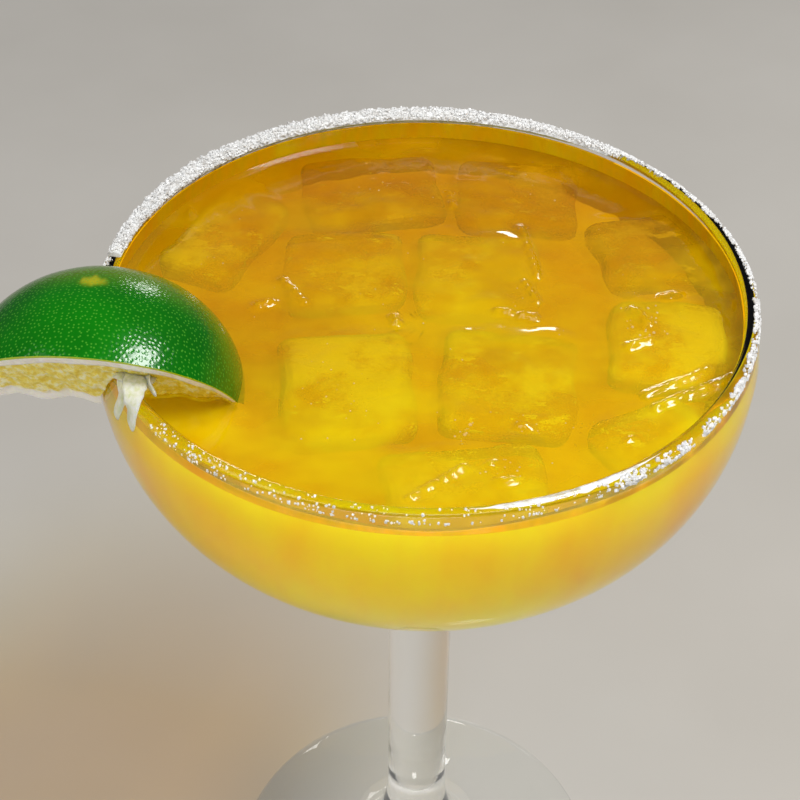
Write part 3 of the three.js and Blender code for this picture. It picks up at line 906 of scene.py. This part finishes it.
# Salt
def crust_thickness(degrees, up):
    ends = eased_step((degrees - CRUST_FROM) / 42) * eased_step((CRUST_TO - degrees) / 32)
    outer = 0.55 + 0.45 * eased_step((75 - up) / 60)
    lumps = noise.noise(Vector((0.55 * degrees, 0.03 * up, 1))) + 0.5 * noise.noise(
        Vector((1.4 * degrees, 0.08 * up, 5)))
    return ends * outer * (0.75 + 0.6 * lumps)


def crust_piece(finish):
    rows = []
    for row in range(CRUST_ROWS + 1):
        degrees = CRUST_FROM + (CRUST_TO - CRUST_FROM) * row / CRUST_ROWS
        tip = row % CRUST_ROWS == 0
        loop = [on_lip(math.radians(degrees), 0, 0)]
        for side in range(15):
            up = CRUST_LOWEST + CRUST_WIDTH * side / 14
            standoff = 0 if tip else LIP_RADIUS + crust_thickness(degrees, up)
            loop.append(on_lip(math.radians(degrees), math.radians(up), standoff))
        rows.append(loop)
    piece = skinned("salt_crust", rows)
    smooth(piece, 30)
    wear(piece, finish)
    belong(piece, "salt", "glass")


def salt_film_highlight_piece():
    """A thin film of dried salt on the top of the lip, tapering out at both ends; its white paints a
    highlight.
    """
    rows = []
    for row in range(HIGHLIGHT_FILM_ROWS + 1):
        share = row / HIGHLIGHT_FILM_ROWS
        degrees = HIGHLIGHT_FILM_FROM + (HIGHLIGHT_FILM_TO - HIGHLIGHT_FILM_FROM) * share
        ends = eased_step(share / 0.25) * eased_step((1 - share) / 0.35)
        ragged = noise.noise(Vector((0.5 * degrees, 4, 0)))
        reach = (34 + 16 * ragged) * ends
        middle = 88 + 12 * noise.noise(Vector((0.3 * degrees, 8, 0)))
        tip = row % HIGHLIGHT_FILM_ROWS == 0
        inner = [(middle + reach * (1 - 2 * side / 8), LIP_RADIUS - 0.08) for side in range(9)]
        outer = []
        for side in range(9):
            crown = 0.16 * math.sin(math.pi * side / 8)
            outer.append((middle + reach * (2 * side / 8 - 1), LIP_RADIUS + crown - 0.04))
        loop = inner + outer
        rows.append([on_lip(math.radians(degrees), math.radians(up), LIP_RADIUS if tip else standoff)
                     for up, standoff in loop])
    piece = skinned("salt_on_lip_painted_highlight", rows)
    smooth(piece, 60)
    wear(piece, salt_film_and_highlight())
    belong(piece, "salt", "glass")


def crystal_placements(chance):
    placements = []
    for stretch in CRYSTAL_STRETCHES:
        clump = chance.uniform(0, 40)
        placed = 0
        while placed < stretch["count"]:
            degrees = chance.uniform(stretch["from"], stretch["to"])
            up = chance.uniform(*stretch["up"])
            if not stretch["crust"]:
                thick = noise.noise(Vector((0.3 * degrees, clump, 0)))
                thick += 1.3 * noise.noise(Vector((1.3 * degrees, clump, 0.05 * up)))
                if chance.random() > 0.3 + 1.5 * thick:
                    continue
            placed += 1
            size = chance.uniform(*stretch["size"])
            standoff = LIP_RADIUS + 0.2 * size
            if stretch["crust"]:
                standoff += max(0, crust_thickness(degrees, up)) + chance.uniform(-0.12, 0.22)
            spot = on_lip(math.radians(degrees), math.radians(up), standoff)
            roll = Matrix.Rotation(chance.uniform(0, 3), 4, "X")
            turn = roll @ Matrix.Rotation(chance.uniform(0, 3), 4, "Z")
            shape = Matrix.Diagonal((size * MM, size * chance.uniform(0.6, 1.1) * MM, size * MM, 1))
            placements.append(Matrix.Translation(spot) @ turn @ shape)
    return placements


def crystal_piece(finish):
    pattern = small_pattern("crystal")
    piece = copies_in_one_mesh("salt_crystals_on_rim", pattern, crystal_placements(random.Random(5)))
    bpy.data.objects.remove(pattern)
    wear(piece, finish)
    belong(piece, "salt", "glass")


# Lime
def lime_place():
    turn = Matrix.Rotation(LIME_YAW, 4, "Z") @ Matrix.Rotation(LIME_TILT, 4, "Y")
    return Matrix.Translation(Vector(LIME_CORE)) @ turn


def lime_radius(x):
    share = min(1, max(-1, x / LIME_HALF_LENGTH))
    return LIME_RADIUS * math.cos(math.asin(share)) ** LIME_SHOULDER_POWER


def sac_relief(x, along, face):
    """Hollows between the juice sacs of a cut face, in mm."""
    sacs = noise.noise(Vector((0.75 * x, 0.28 * along, face)))
    fine = noise.noise(Vector((1.9 * x, 0.9 * along, face + 5)))
    return 0.3 + 0.35 * sacs + 0.2 * fine


def lime_row(row):
    slope = math.pi * (row / LIME_ROWS - 0.5)
    x = LIME_HALF_LENGTH * math.sin(slope)
    tip = row % LIME_ROWS == 0
    radius = 0 if tip else LIME_RADIUS * math.cos(slope) ** LIME_SHOULDER_POWER
    calm = min(1, 2 * radius / LIME_RADIUS)
    middle = LIME_NEAR_FACE - LIME_WEDGE_ANGLE / 2
    far_face = LIME_NEAR_FACE - LIME_WEDGE_ANGLE
    ragged = calm * (0.45 + 0.45 * math.sin(0.37 * row) + 0.35 * noise.noise(Vector((0.5 * x, 2, 2))))
    core = Vector((0, math.cos(middle), math.sin(middle))) * ragged
    flesh = radius - PITH_WIDTH * calm

    def on_face(along, angle, inward):
        edge = eased_step(along / 2) * eased_step((flesh - along) / 0.8)
        dip = edge * calm * (FLESH_RECESS + sac_relief(x, along, angle) - 0.3)
        fade = 1 - along / radius if radius else 0
        return Vector((
            x,
            along * math.cos(angle) + dip * math.cos(angle + inward),
            along * math.sin(angle) + dip * math.sin(angle + inward))) + core * fade

    stations = [flesh * step / 28 for step in range(1, 29)]
    stations += [flesh + (radius - flesh) * step / 6 for step in range(1, 6)]
    near = [on_face(along, LIME_NEAR_FACE, -math.pi / 2) for along in stations]
    far = [on_face(along, far_face, math.pi / 2) for along in stations]
    peel = []
    for step in range(85):
        angle = LIME_NEAR_FACE - LIME_WEDGE_ANGLE * step / 84
        lump = 0.12 * calm * noise.noise(Vector((0.12 * x, 2.2 * angle, 8)))
        peel.append(Vector((x, (radius + lump) * math.cos(angle), (radius + lump) * math.sin(angle))))
    return [Vector((x, 0, 0)) + core, *near, *peel, *reversed(far)]


def slit_cutter():
    grow = SLIT_CLEARANCE
    outer_wall = bowl_side(BOWL_RADIUS + grow, BOWL_DEPTH + grow, 60, 0, 40)
    inner_wall = bowl_side(BOWL_RADIUS - WALL - grow, BOWL_DEPTH - BOWL_FLOOR - grow, 0, 60, 40)
    outside = [spot for spot in outer_wall if spot[1] > SLIT_BOTTOM]
    inside = [spot for spot in inner_wall if spot[1] > SLIT_BOTTOM]
    outline = [*outside, *lip_side(grow, 12), *inside, outside[0]]
    return turned("slit_cutter", outline, 180)


def measure_lime(piece):
    """Stores each point's depth under the skin, distance from the core and place along and around."""
    back = lime_place().inverted()
    names = ("below_skin", "from_core", "along", "around", "skin_along", "skin_around", "yellow_spot")
    stored = {name: [] for name in names}
    for corner in piece.data.vertices:
        x, y, z = back @ (corner.co / MM)
        radius = math.hypot(y, z)
        around = math.degrees(math.atan2(z, y))
        spot = math.hypot((x - YELLOW_SPOT["along"]) / YELLOW_SPOT["half_length"],
                          (around - YELLOW_SPOT["around"]) / YELLOW_SPOT["half_width"])
        stored["below_skin"].append(max(0, lime_radius(x) - radius))
        stored["from_core"].append(radius)
        stored["along"].append(x)
        stored["around"].append(around)
        stored["skin_along"].append(LIME_RADIUS * math.asin(min(1, max(-1, x / LIME_HALF_LENGTH))))
        stored["skin_around"].append(radius * math.radians(around - PEEL_MIDDLE_ANGLE))
        blotch = noise.noise(Vector((0.9 * x, 0.12 * around, 2)))
        stored["yellow_spot"].append(0.8 * eased_step(1.15 - spot + 0.7 * blotch))
    for name, values in stored.items():
        layer = piece.data.attributes.new(name, "FLOAT", "POINT")
        layer.data.foreach_set("value", values)


def lime_piece():
    place = lime_place()
    rows = [[(place @ spot) * MM for spot in lime_row(row)] for row in range(LIME_ROWS + 1)]
    piece = skinned("lime_wedge_with_slit", rows)
    cutter = slit_cutter()
    apply_modifier(piece, "BOOLEAN", operation="DIFFERENCE", object=cutter, solver="EXACT")
    bpy.data.objects.remove(cutter)
    measure_lime(piece)
    wear(piece, lime_peel(), lime_cut())
    back = place.inverted()
    for face in piece.data.polygons:
        x, y, z = back @ (face.center / MM)
        face.material_index = 0 if lime_radius(x) - math.hypot(y, z) < PEEL_DEPTH else 1
    smooth(piece, 45)
    belong(piece, "lime_peel", "lime_wedge")


def flap_prong(name, width, path):
    """A torn strip of pith: flat, tapering and rounded at both ends."""
    curve = [Vector(spot) for spot in eased(path, 8)]
    rows = []
    for number, centre in enumerate(curve):
        share = number / (len(curve) - 1)
        along = (curve[min(number + 1, len(curve) - 1)] - curve[max(number - 1, 0)]).normalized()
        round_rim = Vector((-centre.y, centre.x, 0)).normalized()
        across = (round_rim - along * round_rim.dot(along)).normalized()
        thin = across.cross(along).normalized()
        rounding = math.sqrt(min(1, 14 * share) * min(1, 5 * (1 - share)))
        torn = 1 + 0.22 * noise.noise(centre * 0.9)
        half_width = 0.6 * width * rounding * (1 - 0.6 * share) * torn
        half_thin = 0.3 * rounding
        loop = []
        for side in range(12):
            turn = math.tau * side / 12
            out = across * half_width * math.cos(turn) + thin * half_thin * math.sin(turn)
            loop.append((centre + out) * MM)
        rows.append(loop)
    return skinned(name, rows)


def pith_flap():
    parts = [flap_prong(f"pith_prong_{number}", width, path)
             for number, (width, path) in enumerate(FLAP_PRONGS, 1)]
    leave_nothing_selected()
    for part in parts:
        part.select_set(True)
    bpy.context.view_layer.objects.active = parts[0]
    bpy.ops.object.join()
    piece = named("lime_pith_flap")
    smooth(piece, 60)
    wear(piece, torn_pith())
    belong(piece, "lime_flesh", "lime_wedge")


# Stage
FLOOR_UNDER_FOOT = 0.4
LAMPS_AIM_AT = Vector((0, 0, 0.14))
PHOTO_WIDTH = 800
FOCAL_LENGTH_IN_PIXELS = 1709.25
CAMERA_PLACE = (-4.37, -229.79, 338.16)


def floor_piece():
    leave_nothing_selected()
    bpy.ops.mesh.primitive_plane_add(size=8, location=(0, 0, -FLOOR_UNDER_FOOT * MM))
    floor = named("floor")
    wear(floor, pale_floor())


def soft_lamp(name, place, size, power):
    lamp = bpy.data.lights.new(name, "AREA")
    lamp.shape = "RECTANGLE"
    lamp.size, lamp.size_y = size
    lamp.energy = power
    holder = bpy.data.objects.new(name, lamp)
    bpy.context.collection.objects.link(holder)
    holder.location = place
    aim = LAMPS_AIM_AT - Vector(place)
    holder.rotation_euler = aim.to_track_quat("-Z", "Y").to_euler()


def studio_light():
    soft_lamp("overhead_softbox", (0.42, -0.12, 1.0), (0.42, 0.22), 7.3)
    soft_lamp("left_softbox", (-1.0, -0.6, 1.1), (0.9, 0.9), 5.6)
    soft_lamp("high_front_softbox", (0.1, -0.9, 1.35), (0.9, 0.6), 4.6)
    soft_lamp("low_front_softbox", (-0.2, -1.25, 0.3), (0.9, 0.35), 3.4)
    soft_lamp("back_softbox", (0.1, 1.1, 0.42), (0.14, 0.16), 0.65)
    world = bpy.data.worlds.new("studio")
    world.use_nodes = True
    world.node_tree.nodes["Background"].inputs["Color"].default_value = (0.93, 0.95, 1.0, 1)
    world.node_tree.nodes["Background"].inputs["Strength"].default_value = 0.11
    bpy.context.scene.world = world
    bpy.context.scene.view_settings.view_transform = "Standard"


def camera():
    """The photograph's angle: 41 degrees down from the front, and half a degree of roll."""
    pitch = 0.7142
    roll = 0.0092
    level_up = Vector((0, math.sin(pitch), math.cos(pitch)))
    level_right = Vector((1, 0, 0))
    right = math.cos(roll) * level_right + math.sin(roll) * level_up
    up = math.cos(roll) * level_up - math.sin(roll) * level_right
    back = right.cross(up)
    lens = bpy.data.cameras.new("camera")
    lens.sensor_width = 36
    lens.lens = lens.sensor_width * FOCAL_LENGTH_IN_PIXELS / PHOTO_WIDTH
    lens.clip_start = 0.01
    holder = bpy.data.objects.new("camera", lens)
    bpy.context.collection.objects.link(holder)
    turn = Matrix((right, up, back)).transposed().to_4x4()
    holder.matrix_world = Matrix.Translation(Vector(CAMERA_PLACE) * MM) @ turn
    bpy.context.scene.camera = holder


leave_nothing_selected()
camera()
floor_piece()
studio_light()
glass_piece()
drink_piece()
cloud_piece()
# The brownish look is a darker copy of the wet ice for the cubes at the back: painted shade.
ICE_FINISHES = {
    "yellow": wet_ice("wet_ice", ((0.93, 0.86, 0.45), (0.84, 0.72, 0.3), (0.94, 0.86, 0.64)), 0.25),
    "shaded_brown": wet_ice("shaded_brownish_ice", ((0.76, 0.56, 0.34), (0.62, 0.44, 0.26), (0.88, 0.74, 0.6)), 0.2),
    "clear": wet_ice("clear_ice", ((0.95, 0.92, 0.55), (0.91, 0.86, 0.45), (0.97, 0.92, 0.72)), 0.4),
}
for cube_number, ice_cube in enumerate(ICE_CUBES, 1):
    ice_piece(cube_number, ice_cube, ICE_FINISHES[ice_cube["look"]])
bubble_piece()
salt_finish = salt_crystals()
crust_piece(salt_finish)
crystal_piece(salt_finish)
salt_film_highlight_piece()
lime_piece()
pith_flap()
leave_nothing_selected()
